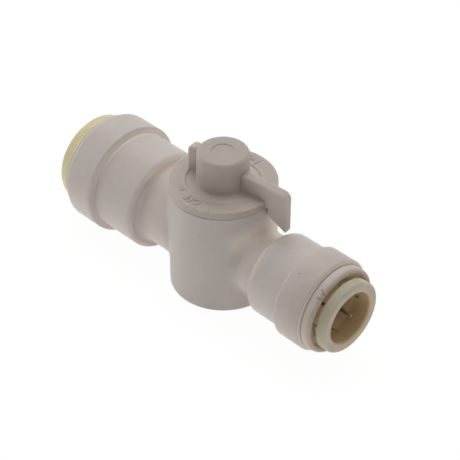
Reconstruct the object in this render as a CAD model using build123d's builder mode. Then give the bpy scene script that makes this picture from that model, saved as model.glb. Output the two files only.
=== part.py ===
from build123d import *
from dataclasses import dataclass
from math import cos, radians, sin, sqrt
import os

# In-line ball valve with two push-fit tube sockets of different size.
# The origin is the centre of the upright barrel's flat underside, +X runs along the pipe axis from the
# large inlet socket to the small outlet socket, and +Z runs up the stem. All sizes are in millimetres.

# Upright barrel
PIPE_AXIS_HEIGHT = 12.2
BARREL_RADIUS = 13.0
BARREL_TOP_RADIUS = 12.9
BARREL_TOP_WALL = 2.3
BARREL_FOOT_ROUND = 0.6
BARREL_RIM_ROUND = 0.25
NECK_JOIN_ROUND = 2.0

# Ball and its seats
BALL_RADIUS = 8.5
BALL_BORE_RADIUS = 5.0
BALL_BORE_ROUND = 0.5
BALL_ROOM = 0.4
SEAT_LIP = 0.4
SEAT_RADIUS = 7.65
SEAT_FRONT = 5.0
SEAT_BACK = 9.3
SEAT_INNER_WALL = 0.8
SEAT_SEAL_SECTION = 1.2
BALL_FIT = 0.08

# Stem, its seals, the thrust washer and the bonnet above the ball
COLLAR_GAP = 0.3
COLLAR_RADIUS = 5.6
COLLAR_THICKNESS = 1.2
WASHER_THICKNESS = 0.5
STEM_RADIUS = 3.5
STEM_GROOVE_DEPTH = 1.2
STEM_GROOVE_WIDTH = 1.4
STEM_SEAL_SPACING = 1.85
TONGUE_THICKNESS = 2.8
TONGUE_LENGTH = 9.0
TONGUE_DEPTH = 2.4
DRIVE_SQUARE = 4.9
DRIVE_LENGTH = 6.6
BONNET_THICKNESS = 4.3
BONNET_RECESS = 0.6
BONNET_GROOVE_DEPTH = 1.1
BONNET_GROOVE_WIDTH = 1.3
BONNET_GROOVE_HEIGHT = 0.5
STOP_RADIUS = 7.9
STOP_PEG_RADIUS = 0.9
STOP_PEG_LENGTH = 1.6
STOP_SLOT_DEPTH = 1.4

# Handle: disc, knob, lever blade and the fin opposite it
HANDLE_GAP = 0.1
DISC_INSET = 0.02
DISC_THICKNESS = 1.85
DISC_RIM_ROUND = 0.3
DISC_DISH_RADIUS = 8.8
DISC_DISH_DEPTH = 0.3
DISC_DISH_ROUND = 0.1
KNOB_FOOT_RADIUS = 6.25
KNOB_TOP_RADIUS = 6.1
KNOB_HEIGHT = 8.4
KNOB_FOOT_ROUND = 0.5
KNOB_TOP_ROUND = 0.8
KNOB_DISH_RADIUS = 2.75
KNOB_DISH_DEPTH = 0.2
KNOB_DISH_ROUND = 0.09
LEVER_ANGLE = 8.6
LEVER_THICKNESS = 2.75
LEVER_REACH = 18.42
LEVER_ROOT_HEIGHT = 4.65
LEVER_END_HEIGHT = 3.6
LEVER_END_DROP = 4.75
LEVER_INNER_DROP = 1.8
LEVER_TOP_ROUND = 1.8
LEVER_EDGE_ROUND = 0.6
LEVER_FOOT_ROUND = 0.8
LEVER_FOOT_REACH = 12.0
FIN_THICKNESS = 2.8
FIN_REACH = 9.35
FIN_HEIGHT = 6.55
FIN_TOP_ROUND = 1.4
FIN_EDGE_ROUND = 0.6
FIN_FOOT_ROUND = 0.5
HANDLE_SWING = 98.6

# Inlet arm, the larger one
INLET_TUBE_DIAMETER = 15.88
INLET_WATERWAY_RADIUS = 6.6
INLET_NECK_RADIUS = 10.08
INLET_HOUSING_START = 19.4
INLET_HOUSING_LENGTH = 12.8
INLET_SEAL_SECTION = 2.76
INLET_HOUSING_WALL = 2.12
INLET_SHOULDER_ROUND = 1.3
INLET_SOCKET_STEP = 0.6
INLET_SOCKET_LENGTH = 9.0
INLET_SOCKET_RISE = 1.6
INLET_STEP_WALL = 0.64
INLET_SPACER_LENGTH = 1.95
INLET_CAP_SETBACK = 0.92
INLET_CAP_LENGTH = 1.6
INLET_COLLET_WALL = 1.3
INLET_FLANGE_RIM = 3.85
INLET_FLANGE_LENGTH = 3.2

# Outlet arm, the smaller one
OUTLET_TUBE_DIAMETER = 12.7
OUTLET_WATERWAY_RADIUS = 5.0
OUTLET_NECK_RADIUS = 8.0
OUTLET_HOUSING_START = 17.2
OUTLET_HOUSING_LENGTH = 10.1
OUTLET_SEAL_SECTION = 2.45
OUTLET_HOUSING_WALL = 1.66
OUTLET_SHOULDER_ROUND = 1.9
OUTLET_SOCKET_STEP = 0.2
OUTLET_SOCKET_LENGTH = 7.65
OUTLET_SOCKET_RISE = 1.14
OUTLET_STEP_WALL = 0.76
OUTLET_SPACER_LENGTH = 1.65
OUTLET_CAP_SETBACK = 0.9
OUTLET_CAP_LENGTH = 2.5
OUTLET_COLLET_WALL = 0.9
OUTLET_FLANGE_RIM = 2.5
OUTLET_FLANGE_LENGTH = 2.65

# Shared by both arms
TUBE_STOP_SETBACK = 2.2
SHOULDER_FILLET = 1.2
STEP_FILLET = 0.25
STEP_ROUND = 0.5
SOCKET_RIM_ROUND = 0.8
SPACER_FLANGE = 0.6
SEAL_LIP = 0.2
CAP_WALL = 0.9
CAP_ROUND = 1.6
CAP_BACK_ROUND = 0.2
CAP_GUIDE_LENGTH = 2.2
CAP_CONE_LENGTH = 2.6
COLLET_TRAVEL = 1.5
COLLET_GAP = 0.45
FLANGE_ROUND = 0.7
MOUTH_ROUND = 0.6
FINGER_SLITS = 8
SLIT_WIDTH = 0.8
SLIT_END_WALL = 0.9
GRAB_RING_SETBACK = 1.2
GRAB_RING_THICKNESS = 0.4
GRAB_RING_WIDTH = 0.55
GRAB_TOOTH_HEIGHT = 0.45
GRAB_TEETH = 12
GRAB_NOTCH_WIDTH = 1.2

# Largest share of its wall that a round may take
SHOULDER_FILLET_SHARE = 0.85
STEP_ROUND_SHARE = 0.6
CAP_ROUND_SHARE = 0.6
CAP_RECESS_ROUND_SHARE = 0.37
MOUTH_ROUND_SHARE = 0.65
FLANGE_ROUND_SHARE = 0.33

# Clearances
TUBE_CLEARANCE = 0.15
GLIDE_CLEARANCE = 0.35
RECESS_CLEARANCE = 0.35
TIP_CLEARANCE = 0.4
STEM_CLEARANCE = 0.08
STATIC_CLEARANCE = 0.05
DRIVE_CLEARANCE = 0.05

# Heights up the stem
barrel_floor = PIPE_AXIS_HEIGHT - BALL_RADIUS - BALL_ROOM
collar_bottom = PIPE_AXIS_HEIGHT + BALL_RADIUS + COLLAR_GAP
collar_top = collar_bottom + COLLAR_THICKNESS
washer_bottom = collar_top + STATIC_CLEARANCE
bonnet_bottom = washer_bottom + WASHER_THICKNESS + STATIC_CLEARANCE
bonnet_top = bonnet_bottom + BONNET_THICKNESS
barrel_top = bonnet_top + BONNET_RECESS
disc_bottom = barrel_top + HANDLE_GAP
disc_top = disc_bottom + DISC_THICKNESS
dish_floor = disc_top - DISC_DISH_DEPTH
knob_top = dish_floor + KNOB_HEIGHT - KNOB_DISH_DEPTH
drive_bottom = disc_bottom + GLIDE_CLEARANCE

# Radii that follow from the fits
cavity_radius = BALL_RADIUS + BALL_ROOM
seat_pocket_radius = SEAT_RADIUS + STATIC_CLEARANCE
seat_pocket_depth = SEAT_BACK + STATIC_CLEARANCE
seat_inner_radius = BALL_BORE_RADIUS + SEAT_LIP
bonnet_bore_radius = BARREL_TOP_RADIUS - BARREL_TOP_WALL
bonnet_radius = bonnet_bore_radius - STATIC_CLEARANCE
stem_hole_radius = STEM_RADIUS + STEM_CLEARANCE
stem_groove_radius = STEM_RADIUS - STEM_GROOVE_DEPTH
disc_radius = BARREL_TOP_RADIUS - DISC_INSET

PIPE_AXIS = Axis((0, 0, PIPE_AXIS_HEIGHT), (1, 0, 0))
lever_direction = Vector(cos(radians(LEVER_ANGLE)), sin(radians(LEVER_ANGLE)), 0)
lever_plane = Plane((0, 0, 0), x_dir=lever_direction, z_dir=lever_direction.cross(Vector(0, 0, 1)))


def turned_plane(height):
    """Level plane at a height, with its X along the lever."""
    return Plane((0, 0, height), x_dir=lever_direction, z_dir=(0, 0, 1))


@dataclass
class Arm:
    """Sizes of one arm. Places are distances from the stem axis, outwards along the pipe axis."""

    name: str
    side: int
    tube_diameter: float
    waterway_radius: float
    neck_radius: float
    housing_start: float
    housing_length: float
    seal_section: float
    housing_wall: float
    shoulder_round: float
    socket_step: float
    socket_length: float
    socket_rise: float
    step_wall: float
    spacer_length: float
    cap_setback: float
    cap_length: float
    collet_wall: float
    flange_rim: float
    flange_length: float

    def __post_init__(self):
        self.profile_plane = Plane((0, 0, PIPE_AXIS_HEIGHT), x_dir=(self.side, 0, 0), z_dir=(0, -self.side, 0))
        self.bore_radius = self.tube_diameter / 2 + TUBE_CLEARANCE
        self.socket_start = self.housing_start + self.housing_length
        self.socket_end = self.socket_start + self.socket_length
        self.step_round = min(STEP_ROUND, STEP_ROUND_SHARE * self.socket_rise)
        self.seal_inner_radius = self.bore_radius - SEAL_LIP
        self.chamber_radius = self.seal_inner_radius + self.seal_section + STATIC_CLEARANCE
        self.housing_radius = self.chamber_radius + self.housing_wall
        self.socket_radius = self.housing_radius + self.socket_rise
        shoulder_wall = self.housing_radius - self.neck_radius - self.shoulder_round
        self.shoulder_fillet = min(SHOULDER_FILLET, SHOULDER_FILLET_SHARE * shoulder_wall)
        self.cap_radius = self.socket_radius - self.cap_setback
        self.flange_radius = self.bore_radius + self.flange_rim
        self.cap_bore_radius = self.housing_radius - self.step_wall
        self.tube_stop = self.housing_start + TUBE_STOP_SETBACK
        self.spacer_start = self.socket_start - self.spacer_length
        self.seal_centre = self.spacer_start - STATIC_CLEARANCE - self.seal_section / 2
        self.chamber_floor = self.seal_centre - self.seal_section / 2 - STATIC_CLEARANCE
        self.cap_start = self.socket_start + SPACER_FLANGE + STATIC_CLEARANCE
        self.cap_front = self.socket_end + STATIC_CLEARANCE + self.cap_length
        self.cap_body_radius = self.cap_bore_radius - STATIC_CLEARANCE
        self.cap_chamber_radius = self.cap_body_radius - CAP_WALL
        self.sleeve_radius = self.bore_radius + self.collet_wall
        self.guide_radius = self.sleeve_radius + GLIDE_CLEARANCE
        self.recess_radius = self.flange_radius + RECESS_CLEARANCE
        self.cap_rim = self.cap_radius - self.recess_radius
        self.cap_round = min(CAP_ROUND, CAP_ROUND_SHARE * self.cap_rim)
        self.cap_recess_round = CAP_RECESS_ROUND_SHARE * self.cap_rim
        self.recess_floor = self.cap_front + COLLET_GAP - COLLET_TRAVEL - GLIDE_CLEARANCE
        self.cone_end = self.recess_floor - CAP_GUIDE_LENGTH
        self.cone_start = self.cone_end - CAP_CONE_LENGTH
        self.flange_back = self.cap_front + COLLET_GAP
        self.mouth_round = min(MOUTH_ROUND, MOUTH_ROUND_SHARE * self.flange_rim)
        self.flange_round = min(FLANGE_ROUND, FLANGE_ROUND_SHARE * self.flange_rim)
        self.collet_front = self.flange_back + self.flange_length
        self.collet_tip = self.socket_start + SPACER_FLANGE + TIP_CLEARANCE + COLLET_TRAVEL
        self.finger_radius = self.cap_chamber_radius - GLIDE_CLEARANCE
        self.grab_ring_radius = self.bore_radius + GRAB_RING_WIDTH + STATIC_CLEARANCE
        self.grab_ring_start = self.collet_tip + GRAB_RING_SETBACK

    def cross_plane(self, distance):
        """Plane across the pipe axis at a distance from the stem axis, facing outwards."""
        return Plane((self.side * distance, 0, PIPE_AXIS_HEIGHT), x_dir=(0, 1, 0), z_dir=(self.side, 0, 0))


inlet = Arm(
    name="inlet",
    side=-1,
    tube_diameter=INLET_TUBE_DIAMETER,
    waterway_radius=INLET_WATERWAY_RADIUS,
    neck_radius=INLET_NECK_RADIUS,
    housing_start=INLET_HOUSING_START,
    housing_length=INLET_HOUSING_LENGTH,
    seal_section=INLET_SEAL_SECTION,
    housing_wall=INLET_HOUSING_WALL,
    shoulder_round=INLET_SHOULDER_ROUND,
    socket_step=INLET_SOCKET_STEP,
    socket_length=INLET_SOCKET_LENGTH,
    socket_rise=INLET_SOCKET_RISE,
    step_wall=INLET_STEP_WALL,
    spacer_length=INLET_SPACER_LENGTH,
    cap_setback=INLET_CAP_SETBACK,
    cap_length=INLET_CAP_LENGTH,
    collet_wall=INLET_COLLET_WALL,
    flange_rim=INLET_FLANGE_RIM,
    flange_length=INLET_FLANGE_LENGTH,
)
outlet = Arm(
    name="outlet",
    side=1,
    tube_diameter=OUTLET_TUBE_DIAMETER,
    waterway_radius=OUTLET_WATERWAY_RADIUS,
    neck_radius=OUTLET_NECK_RADIUS,
    housing_start=OUTLET_HOUSING_START,
    housing_length=OUTLET_HOUSING_LENGTH,
    seal_section=OUTLET_SEAL_SECTION,
    housing_wall=OUTLET_HOUSING_WALL,
    shoulder_round=OUTLET_SHOULDER_ROUND,
    socket_step=OUTLET_SOCKET_STEP,
    socket_length=OUTLET_SOCKET_LENGTH,
    socket_rise=OUTLET_SOCKET_RISE,
    step_wall=OUTLET_STEP_WALL,
    spacer_length=OUTLET_SPACER_LENGTH,
    cap_setback=OUTLET_CAP_SETBACK,
    cap_length=OUTLET_CAP_LENGTH,
    collet_wall=OUTLET_COLLET_WALL,
    flange_rim=OUTLET_FLANGE_RIM,
    flange_length=OUTLET_FLANGE_LENGTH,
)
arms = (inlet, outlet)

os.makedirs("parts", exist_ok=True)

# Body: the upright barrel, closed below, with the two stepped arms, moulded in one
with BuildPart() as body:
    with BuildSketch(Plane.XZ):
        with BuildLine():
            FilletPolyline(
                (0, 0),
                (BARREL_RADIUS, 0),
                (BARREL_TOP_RADIUS, barrel_top),
                (0, barrel_top),
                radius=[0, BARREL_FOOT_ROUND, BARREL_RIM_ROUND, 0],
                close=True,
            )
        make_face()
    revolve(axis=Axis.Z)
    for arm in arms:
        with BuildSketch(arm.profile_plane):
            with BuildLine():
                FilletPolyline(
                    (0, 0),
                    (0, arm.neck_radius),
                    (arm.housing_start, arm.neck_radius),
                    (arm.housing_start, arm.housing_radius),
                    (arm.socket_start, arm.housing_radius),
                    (arm.socket_start + arm.socket_step, arm.socket_radius),
                    (arm.socket_end, arm.socket_radius),
                    (arm.socket_end, 0),
                    radius=[
                        0,
                        0,
                        arm.shoulder_fillet,
                        arm.shoulder_round,
                        STEP_FILLET,
                        arm.step_round,
                        SOCKET_RIM_ROUND,
                        0,
                    ],
                    close=True,
                )
            make_face()
        revolve(axis=PIPE_AXIS)
    neck_joins = body.edges().filter_by(lambda edge: edge.geom_type not in (GeomType.LINE, GeomType.CIRCLE))
    fillet(neck_joins, NECK_JOIN_ROUND)
    with BuildSketch(Plane.XY.offset(barrel_floor)):
        Circle(cavity_radius)
    extrude(amount=barrel_top - barrel_floor, mode=Mode.SUBTRACT)
    with BuildSketch(Plane.XY.offset(bonnet_bottom)):
        Circle(bonnet_bore_radius)
    extrude(amount=barrel_top - bonnet_bottom, mode=Mode.SUBTRACT)
    for arm in arms:
        with BuildSketch(arm.profile_plane):
            with BuildLine():
                Polyline(
                    (0, 0),
                    (0, seat_pocket_radius),
                    (seat_pocket_depth, seat_pocket_radius),
                    (seat_pocket_depth, seat_inner_radius),
                    (arm.tube_stop, arm.waterway_radius),
                    (arm.tube_stop, arm.bore_radius),
                    (arm.chamber_floor, arm.bore_radius),
                    (arm.chamber_floor, arm.chamber_radius),
                    (arm.socket_start, arm.chamber_radius),
                    (arm.socket_start, arm.cap_bore_radius),
                    (arm.socket_end, arm.cap_bore_radius),
                    (arm.socket_end, 0),
                    close=True,
                )
            make_face()
        revolve(axis=PIPE_AXIS, mode=Mode.SUBTRACT)

body.part.label = "body"
export_step(body.part, "parts/body.step")

# Ball: a sphere with the waterway through it and a slot for the stem's tongue across its top
ball_throat = sqrt(BALL_RADIUS**2 - BALL_BORE_RADIUS**2)
ball_plane = Plane((0, 0, PIPE_AXIS_HEIGHT), x_dir=lever_direction, z_dir=lever_plane.z_dir)
with BuildPart() as ball:
    with BuildSketch(ball_plane) as ball_section:
        with BuildLine():
            Line((-ball_throat, BALL_BORE_RADIUS), (ball_throat, BALL_BORE_RADIUS))
            ThreePointArc((ball_throat, BALL_BORE_RADIUS), (0, BALL_RADIUS), (-ball_throat, BALL_BORE_RADIUS))
        make_face()
        fillet(ball_section.vertices(), BALL_BORE_ROUND)
    revolve(axis=Axis(ball_plane.origin, lever_direction))
    with BuildSketch(turned_plane(collar_bottom - TONGUE_DEPTH - DRIVE_CLEARANCE)):
        Rectangle(TONGUE_THICKNESS + 2 * DRIVE_CLEARANCE, 2 * BALL_RADIUS)
    extrude(amount=BALL_RADIUS, mode=Mode.SUBTRACT)

ball.part.label = "ball"
export_step(ball.part, "parts/ball.step")

# Seat rings on both sides of the ball, each with a rubber ring behind it
seat_face_radius = BALL_RADIUS + BALL_FIT
seat_throat = sqrt(seat_face_radius**2 - seat_inner_radius**2)
seat_face_edge = sqrt(seat_face_radius**2 - SEAT_FRONT**2)
seat_face_middle = (seat_throat + SEAT_FRONT) / 2
seat_shelf = SEAT_BACK - SEAT_SEAL_SECTION - STATIC_CLEARANCE
seat_step_radius = seat_inner_radius + SEAT_INNER_WALL
for arm in arms:
    with BuildPart() as ball_seat:
        with BuildSketch(arm.profile_plane):
            with BuildLine():
                Polyline(
                    (seat_throat, seat_inner_radius),
                    (SEAT_BACK, seat_inner_radius),
                    (SEAT_BACK, seat_step_radius),
                    (seat_shelf, seat_step_radius),
                    (seat_shelf, SEAT_RADIUS),
                    (SEAT_FRONT, SEAT_RADIUS),
                    (SEAT_FRONT, seat_face_edge),
                )
                ThreePointArc(
                    (SEAT_FRONT, seat_face_edge),
                    (seat_face_middle, sqrt(seat_face_radius**2 - seat_face_middle**2)),
                    (seat_throat, seat_inner_radius),
                )
            make_face()
        revolve(axis=PIPE_AXIS)
    ball_seat.part.label = f"ball_seat_{arm.name}"
    export_step(ball_seat.part, f"parts/ball_seat_{arm.name}.step")

    with BuildPart(arm.cross_plane(SEAT_BACK - SEAT_SEAL_SECTION / 2)) as seat_seal:
        Torus((seat_step_radius + seat_pocket_radius) / 2, SEAT_SEAL_SECTION / 2)
    seat_seal.part.label = f"seat_seal_{arm.name}"
    export_step(seat_seal.part, f"parts/seat_seal_{arm.name}.step")

# Stem: collar, two seal grooves, the tongue in the ball and the square in the handle
bonnet_middle = (bonnet_bottom + bonnet_top) / 2
lower_groove = bonnet_middle - STEM_SEAL_SPACING / 2
upper_groove = bonnet_middle + STEM_SEAL_SPACING / 2
with BuildPart() as stem:
    with BuildSketch(Plane.XZ):
        with BuildLine():
            Polyline(
                (0, collar_bottom),
                (COLLAR_RADIUS, collar_bottom),
                (COLLAR_RADIUS, collar_top),
                (STEM_RADIUS, collar_top),
                (STEM_RADIUS, lower_groove - STEM_GROOVE_WIDTH / 2),
                (stem_groove_radius, lower_groove - STEM_GROOVE_WIDTH / 2),
                (stem_groove_radius, lower_groove + STEM_GROOVE_WIDTH / 2),
                (STEM_RADIUS, lower_groove + STEM_GROOVE_WIDTH / 2),
                (STEM_RADIUS, upper_groove - STEM_GROOVE_WIDTH / 2),
                (stem_groove_radius, upper_groove - STEM_GROOVE_WIDTH / 2),
                (stem_groove_radius, upper_groove + STEM_GROOVE_WIDTH / 2),
                (STEM_RADIUS, upper_groove + STEM_GROOVE_WIDTH / 2),
                (STEM_RADIUS, drive_bottom),
                (0, drive_bottom),
                close=True,
            )
        make_face()
    revolve(axis=Axis.Z)
    with BuildSketch(turned_plane(drive_bottom)):
        Rectangle(DRIVE_SQUARE, DRIVE_SQUARE)
    extrude(amount=DRIVE_LENGTH)
    with BuildSketch(turned_plane(collar_bottom)):
        Rectangle(TONGUE_THICKNESS, TONGUE_LENGTH)
    extrude(amount=-TONGUE_DEPTH)

stem.part.label = "stem"
export_step(stem.part, "parts/stem.step")

# Rubber rings in the stem's two grooves
stem_seal_section = stem_hole_radius - stem_groove_radius - 2 * STATIC_CLEARANCE
for name, height in (("stem_seal_lower", lower_groove), ("stem_seal_upper", upper_groove)):
    with BuildPart(Plane.XY.offset(height)) as stem_seal:
        Torus((stem_hole_radius + stem_groove_radius) / 2, stem_seal_section / 2)
    stem_seal.part.label = name
    export_step(stem_seal.part, f"parts/{name}.step")

# Thrust washer between the stem's collar and the bonnet
with BuildPart() as thrust_washer:
    with BuildSketch(Plane.XY.offset(washer_bottom)):
        Circle(COLLAR_RADIUS)
        Circle(stem_hole_radius, mode=Mode.SUBTRACT)
    extrude(amount=WASHER_THICKNESS)

thrust_washer.part.label = "thrust_washer"
export_step(thrust_washer.part, "parts/thrust_washer.step")

# Bonnet: the plug in the barrel's top, with a groove for its seal and an arc slot that stops the handle
bonnet_groove_bottom = bonnet_bottom + BONNET_GROOVE_HEIGHT
bonnet_groove_top = bonnet_groove_bottom + BONNET_GROOVE_WIDTH
bonnet_groove_radius = bonnet_radius - BONNET_GROOVE_DEPTH
peg_angle = LEVER_ANGLE + 180
with BuildPart() as bonnet:
    with BuildSketch(Plane.XZ):
        with BuildLine():
            Polyline(
                (stem_hole_radius, bonnet_bottom),
                (bonnet_radius, bonnet_bottom),
                (bonnet_radius, bonnet_groove_bottom),
                (bonnet_groove_radius, bonnet_groove_bottom),
                (bonnet_groove_radius, bonnet_groove_top),
                (bonnet_radius, bonnet_groove_top),
                (bonnet_radius, bonnet_top),
                (stem_hole_radius, bonnet_top),
                close=True,
            )
        make_face()
    revolve(axis=Axis.Z)
    with BuildSketch(Plane.XY.offset(bonnet_top)):
        SlotArc(
            CenterArc((0, 0), STOP_RADIUS, peg_angle - HANDLE_SWING, HANDLE_SWING, mode=Mode.PRIVATE),
            2 * (STOP_PEG_RADIUS + GLIDE_CLEARANCE),
        )
    extrude(amount=-STOP_SLOT_DEPTH, mode=Mode.SUBTRACT)

bonnet.part.label = "bonnet"
export_step(bonnet.part, "parts/bonnet.step")

# Rubber ring in the bonnet's groove
bonnet_seal_section = bonnet_bore_radius - bonnet_groove_radius - 2 * STATIC_CLEARANCE
with BuildPart(Plane.XY.offset((bonnet_groove_bottom + bonnet_groove_top) / 2)) as bonnet_seal:
    Torus((bonnet_bore_radius + bonnet_groove_radius) / 2, bonnet_seal_section / 2)

bonnet_seal.part.label = "bonnet_seal"
export_step(bonnet_seal.part, "parts/bonnet_seal.step")

# Handle: lever blade and fin on a disc with a knob, moulded in one, with a stop peg and a square socket below
lever_inner = BARREL_RADIUS + GLIDE_CLEARANCE
lever_core = KNOB_TOP_RADIUS / 2
blade_feet = (
    (LEVER_THICKNESS, LEVER_FOOT_ROUND, LEVER_FOOT_REACH),
    (FIN_THICKNESS, FIN_FOOT_ROUND, FIN_EDGE_ROUND - FIN_REACH),
)
with BuildPart() as handle:
    with BuildSketch(lever_plane):
        with BuildLine():
            FilletPolyline(
                (lever_core, disc_bottom),
                (lever_inner, disc_bottom),
                (lever_inner, disc_bottom - LEVER_INNER_DROP),
                (LEVER_REACH, disc_bottom - LEVER_END_DROP),
                (LEVER_REACH, disc_top + LEVER_END_HEIGHT),
                (lever_core, disc_top + LEVER_ROOT_HEIGHT),
                radius=[0, 0, 0, 0, LEVER_TOP_ROUND, 0],
                close=True,
            )
        make_face()
    extrude(amount=LEVER_THICKNESS / 2, both=True)
    fillet(handle.faces().filter_by(lever_plane).edges(), LEVER_EDGE_ROUND)
    with BuildSketch(lever_plane):
        with BuildLine():
            FilletPolyline(
                (-lever_core, disc_bottom),
                (-lever_core, disc_top + FIN_HEIGHT),
                (-FIN_REACH, disc_top + FIN_HEIGHT),
                (-FIN_REACH, disc_bottom),
                radius=[0, 0, FIN_TOP_ROUND, 0],
                close=True,
            )
        make_face()
    extrude(amount=FIN_THICKNESS / 2, both=True)
    fin_faces = handle.faces(Select.LAST).filter_by(lever_plane)
    fillet(fin_faces.edges(), FIN_EDGE_ROUND)
    for thickness, foot_round, foot_reach in blade_feet:
        foot_edge = thickness / 2 + foot_round
        with BuildSketch(Plane((0, 0, dish_floor), x_dir=-lever_plane.z_dir, z_dir=lever_direction)):
            Rectangle(2 * foot_edge, 2 * foot_round)
            with Locations((foot_edge, foot_round), (-foot_edge, foot_round)):
                Circle(foot_round, mode=Mode.SUBTRACT)
        extrude(amount=foot_reach)
    with BuildSketch(Plane.XZ):
        with BuildLine():
            FilletPolyline(
                (0, disc_bottom),
                (disc_radius, disc_bottom),
                (disc_radius, disc_top),
                (DISC_DISH_RADIUS, disc_top),
                (DISC_DISH_RADIUS, dish_floor),
                (KNOB_FOOT_RADIUS, dish_floor),
                (KNOB_TOP_RADIUS, knob_top + KNOB_DISH_DEPTH),
                (KNOB_DISH_RADIUS, knob_top + KNOB_DISH_DEPTH),
                (KNOB_DISH_RADIUS, knob_top),
                (0, knob_top),
                radius=[
                    0,
                    0,
                    DISC_RIM_ROUND,
                    DISC_DISH_ROUND,
                    DISC_DISH_ROUND,
                    KNOB_FOOT_ROUND,
                    KNOB_TOP_ROUND,
                    KNOB_DISH_ROUND,
                    KNOB_DISH_ROUND,
                    0,
                ],
                close=True,
            )
        make_face()
    revolve(axis=Axis.Z)
    with BuildSketch(turned_plane(disc_bottom)):
        with Locations((-STOP_RADIUS, 0)):
            Circle(STOP_PEG_RADIUS)
    extrude(amount=-STOP_PEG_LENGTH)
    with BuildSketch(turned_plane(disc_bottom)):
        Circle(STEM_RADIUS + STATIC_CLEARANCE)
    extrude(amount=drive_bottom - disc_bottom + DRIVE_CLEARANCE, mode=Mode.SUBTRACT)
    with BuildSketch(turned_plane(disc_bottom)):
        Rectangle(DRIVE_SQUARE + 2 * DRIVE_CLEARANCE, DRIVE_SQUARE + 2 * DRIVE_CLEARANCE)
    extrude(amount=drive_bottom - disc_bottom + DRIVE_LENGTH + DRIVE_CLEARANCE, mode=Mode.SUBTRACT)

handle.part.label = "handle"
export_step(handle.part, "parts/handle.step")

# The pieces of the two tube sockets, the same kinds in two sizes
for arm in arms:
    # Rubber ring that seals on the tube
    with BuildPart(arm.cross_plane(arm.seal_centre)) as tube_seal:
        Torus(arm.seal_inner_radius + arm.seal_section / 2, arm.seal_section / 2)
    tube_seal.part.label = f"{arm.name}_tube_seal"
    export_step(tube_seal.part, f"parts/{arm.name}_tube_seal.step")

    # Spacer that holds the seal in its chamber, with a flange under the cap
    with BuildPart() as spacer:
        with BuildSketch(arm.profile_plane):
            with BuildLine():
                Polyline(
                    (arm.spacer_start, arm.bore_radius),
                    (arm.socket_start + SPACER_FLANGE, arm.bore_radius),
                    (arm.socket_start + SPACER_FLANGE, arm.cap_body_radius),
                    (arm.socket_start, arm.cap_body_radius),
                    (arm.socket_start, arm.chamber_radius - STATIC_CLEARANCE),
                    (arm.spacer_start, arm.chamber_radius - STATIC_CLEARANCE),
                    close=True,
                )
            make_face()
        revolve(axis=PIPE_AXIS)
    spacer.part.label = f"{arm.name}_spacer"
    export_step(spacer.part, f"parts/{arm.name}_spacer.step")

    # Cap fixed in the socket: a cone for the collet's fingers, a guide, and a recess for its flange
    with BuildPart() as cap:
        with BuildSketch(arm.profile_plane):
            with BuildLine():
                FilletPolyline(
                    (arm.cap_start, arm.cap_chamber_radius),
                    (arm.cone_start, arm.cap_chamber_radius),
                    (arm.cone_end, arm.guide_radius),
                    (arm.recess_floor, arm.guide_radius),
                    (arm.recess_floor, arm.recess_radius),
                    (arm.cap_front, arm.recess_radius),
                    (arm.cap_front, arm.cap_radius),
                    (arm.socket_end + STATIC_CLEARANCE, arm.cap_radius),
                    (arm.socket_end + STATIC_CLEARANCE, arm.cap_body_radius),
                    (arm.cap_start, arm.cap_body_radius),
                    radius=[0, 0, 0, 0, 0, arm.cap_recess_round, arm.cap_round, CAP_BACK_ROUND, 0, 0],
                    close=True,
                )
            make_face()
        revolve(axis=PIPE_AXIS)
    cap.part.label = f"{arm.name}_cap"
    export_step(cap.part, f"parts/{arm.name}_cap.step")

    # Release collet: a flange to press, a sleeve, and slit fingers with a groove for the grab ring
    with BuildPart() as collet:
        with BuildSketch(arm.profile_plane):
            with BuildLine():
                FilletPolyline(
                    (arm.collet_tip, arm.bore_radius),
                    (arm.collet_front, arm.bore_radius),
                    (arm.collet_front, arm.flange_radius),
                    (arm.flange_back, arm.flange_radius),
                    (arm.flange_back, arm.sleeve_radius),
                    (arm.cone_end, arm.sleeve_radius),
                    (arm.cone_start, arm.finger_radius),
                    (arm.collet_tip, arm.finger_radius),
                    radius=[0, arm.mouth_round, arm.flange_round, STEP_FILLET, 0, 0, 0, 0],
                    close=True,
                )
            make_face()
        revolve(axis=PIPE_AXIS)
        with BuildSketch(arm.cross_plane(arm.grab_ring_start - STATIC_CLEARANCE)):
            Circle(arm.grab_ring_radius + STATIC_CLEARANCE)
        extrude(amount=GRAB_RING_THICKNESS + 2 * STATIC_CLEARANCE, mode=Mode.SUBTRACT)
        with BuildSketch(arm.cross_plane(arm.collet_tip)):
            with PolarLocations(arm.finger_radius / 2, FINGER_SLITS):
                Rectangle(arm.finger_radius + SLIT_WIDTH, SLIT_WIDTH)
        extrude(amount=arm.flange_back - SLIT_END_WALL - arm.collet_tip, mode=Mode.SUBTRACT)
    collet.part.label = f"{arm.name}_collet"
    export_step(collet.part, f"parts/{arm.name}_collet.step")

    # Steel grab ring with inward teeth
    with BuildPart() as grab_ring:
        with BuildSketch(arm.cross_plane(arm.grab_ring_start)):
            Circle(arm.grab_ring_radius)
            Circle(arm.seal_inner_radius, mode=Mode.SUBTRACT)
            with PolarLocations(arm.seal_inner_radius, GRAB_TEETH):
                Rectangle(2 * GRAB_TOOTH_HEIGHT, GRAB_NOTCH_WIDTH, mode=Mode.SUBTRACT)
        extrude(amount=GRAB_RING_THICKNESS)
    grab_ring.part.label = f"{arm.name}_grab_ring"
    export_step(grab_ring.part, f"parts/{arm.name}_grab_ring.step")
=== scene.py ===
import logging
import math
from dataclasses import dataclass
from enum import Enum
from typing import Any, Dict, Optional, Sequence, Tuple

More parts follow.
